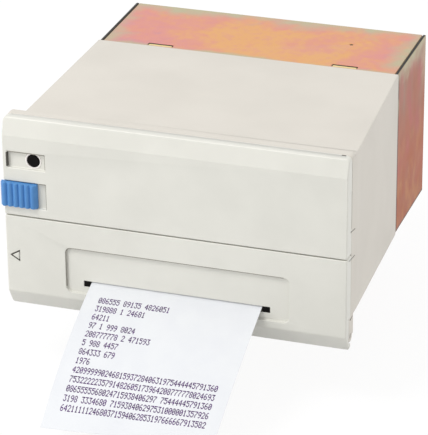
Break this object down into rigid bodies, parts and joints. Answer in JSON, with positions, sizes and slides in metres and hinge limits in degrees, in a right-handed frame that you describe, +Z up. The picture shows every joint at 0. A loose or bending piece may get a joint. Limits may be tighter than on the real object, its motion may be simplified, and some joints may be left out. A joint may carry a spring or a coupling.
{
  "type": "dot matrix printer",
  "caption": "Panel-mount dot matrix printer: hinged front cover with print mechanism and paper slot, paper roll in a white case, plated metal rear box, blue latch slider, feed button.",
  "frame": {"origin": "middle of the seat strip on the rear face of the front flange, below the case, where the flange lies against the panel", "axes": "+X to the right seen from the front, +Y to the rear through the panel, +Z up"},
  "size_m": [0.1151, 0.1713, 0.0848],
  "materials": {
    "cover_plastic": "fine moulded texture, warm white",
    "case_plastic": "fine moulded texture, warm white",
    "zinc_sheet": "yellow chromate over zinc, iridescent pink and gold",
    "steel": "bright zinc plated steel",
    "ground_steel": "ground and polished shaft",
    "brass": "turned brass",
    "circuit_board": "green solder mask",
    "dark_plastic": "moulded black plastic",
    "button_plastic": "smooth black plastic",
    "chip_resin": "moulded resin",
    "can_sleeve": "printed shrink sleeve",
    "blue_plastic": "ribbed blue plastic",
    "rubber": "ground rubber",
    "gear_plastic": "natural acetal",
    "paper": "smooth white paper",
    "card": "grey-brown card tube",
    "ink_ribbon": "woven nylon ribbon, purple ink",
    "socket_plastic": "natural nylon"
  },
  "bodies": {
    "case": {"case_shell": "case_plastic", "hinge_pins": "ground_steel", "roll_bracket_left": "steel", "roll_bracket_right": "steel", "bracket_screws": "steel", "bulkhead": "steel", "bulkhead_screws": "steel", "rear_wrap": "zinc_sheet", "side_plate_left": "zinc_sheet", "side_plate_right": "zinc_sheet", "rear_screws": "steel", "control_board": "circuit_board", "board_standoffs": "brass", "board_screws": "steel", "board_chips": "chip_resin", "board_capacitors": "can_sleeve", "data_connector": "steel", "connector_jackscrews": "brass", "power_connector": "socket_plastic", "paper_web": "paper"},
    "front_cover": {"upper_cover": "cover_plastic", "lower_cover": "cover_plastic", "joining_plate": "steel", "cover_screws": "steel", "panel_board": "circuit_board", "feed_switch": "dark_plastic", "mech_side_left": "steel", "mech_side_right": "steel", "tie_rods": "ground_steel", "roller_bushes": "brass", "platen": "rubber", "guide_shaft": "ground_steel", "chute_upper": "steel", "chute_lower": "steel", "feed_motor": "steel", "head_motor": "steel", "idler_stud": "ground_steel", "ribbon_cassette": "dark_plastic", "ribbon": "ink_ribbon", "paper_strip": "paper", "latch_spring": "steel", "button_spring": "steel"},
    "latch": {"latch_knob": "blue_plastic", "latch_hook": "dark_plastic"},
    "feed_key": {"feed_button": "button_plastic"},
    "supply_roll": {"paper_roll": "paper", "roll_core": "card", "roll_shaft": "dark_plastic"},
    "feed_roller_unit": {"feed_roller": "rubber", "feed_shaft": "ground_steel", "feed_gear": "gear_plastic"},
    "pressure_roller_unit": {"pressure_roller": "rubber"},
    "idler": {"idler_gear": "gear_plastic"},
    "pinion": {"motor_pinion": "brass"},
    "head": {"head_carriage": "dark_plastic", "print_head": "steel"},
    "screw": {"lead_screw": "ground_steel"},
    "ribbon_drive": {"ribbon_knob": "blue_plastic"}
  },
  "joints": [
    {"name": "cover_hinge", "type": "hinge", "parent": "case", "child": "front_cover", "pos_m": [0, -0.0032, -0.00345], "axis": [1, 0, 0], "range_deg": [0, 90], "deforming": ["paper_web"]},
    {"name": "latch_slide", "type": "slide", "parent": "front_cover", "child": "latch", "axis": [1, 0, 0], "range_m": [0, 0.0025], "stiffness_N_per_m": 200, "deforming": ["latch_spring"]},
    {"name": "feed_button_press", "type": "slide", "parent": "front_cover", "child": "feed_key", "axis": [0, 1, 0], "range_m": [0, 0.0008], "stiffness_N_per_m": 300, "deforming": ["button_spring"]},
    {"name": "supply_roll_spin", "type": "hinge", "parent": "case", "child": "supply_roll", "pos_m": [0, 0.044, 0.02845], "axis": [1, 0, 0], "continuous": true},
    {"name": "feed_roller_spin", "type": "hinge", "parent": "front_cover", "child": "feed_roller_unit", "pos_m": [0, 0.012, 0.03895], "axis": [1, 0, 0], "continuous": true},
    {"name": "pressure_roller_spin", "type": "hinge", "parent": "front_cover", "child": "pressure_roller_unit", "pos_m": [0, 0.00445, 0.03895], "axis": [1, 0, 0], "continuous": true},
    {"name": "idler_spin", "type": "hinge", "parent": "front_cover", "child": "idler", "pos_m": [0, 0.01028, 0.02397], "axis": [1, 0, 0], "continuous": true},
    {"name": "pinion_spin", "type": "hinge", "parent": "front_cover", "child": "pinion", "pos_m": [0, 0.014, 0.01195], "axis": [1, 0, 0], "continuous": true},
    {"name": "head_slide", "type": "slide", "parent": "front_cover", "child": "head", "axis": [1, 0, 0], "range_m": [-0.026, 0.026]},
    {"name": "lead_screw_spin", "type": "hinge", "parent": "front_cover", "child": "screw", "pos_m": [0, -0.0012, 0.02055], "axis": [1, 0, 0], "range_deg": [-1570, 1570]},
    {"name": "ribbon_knob_spin", "type": "hinge", "parent": "front_cover", "child": "ribbon_drive", "pos_m": [0.0303, -0.0019, 0.03495], "axis": [0, 0, 1], "continuous": true}
  ],
  "couplings": [
    {"joint": "feed_roller_spin", "follows": "supply_roll_spin", "ratio": 5.6962},
    {"joint": "pressure_roller_spin", "follows": "supply_roll_spin", "ratio": -6.6176},
    {"joint": "idler_spin", "follows": "supply_roll_spin", "ratio": -3.7975},
    {"joint": "pinion_spin", "follows": "supply_roll_spin", "ratio": 9.7649},
    {"joint": "lead_screw_spin", "follows": "head_slide", "rad_per_m": -1047.2}
  ]
}
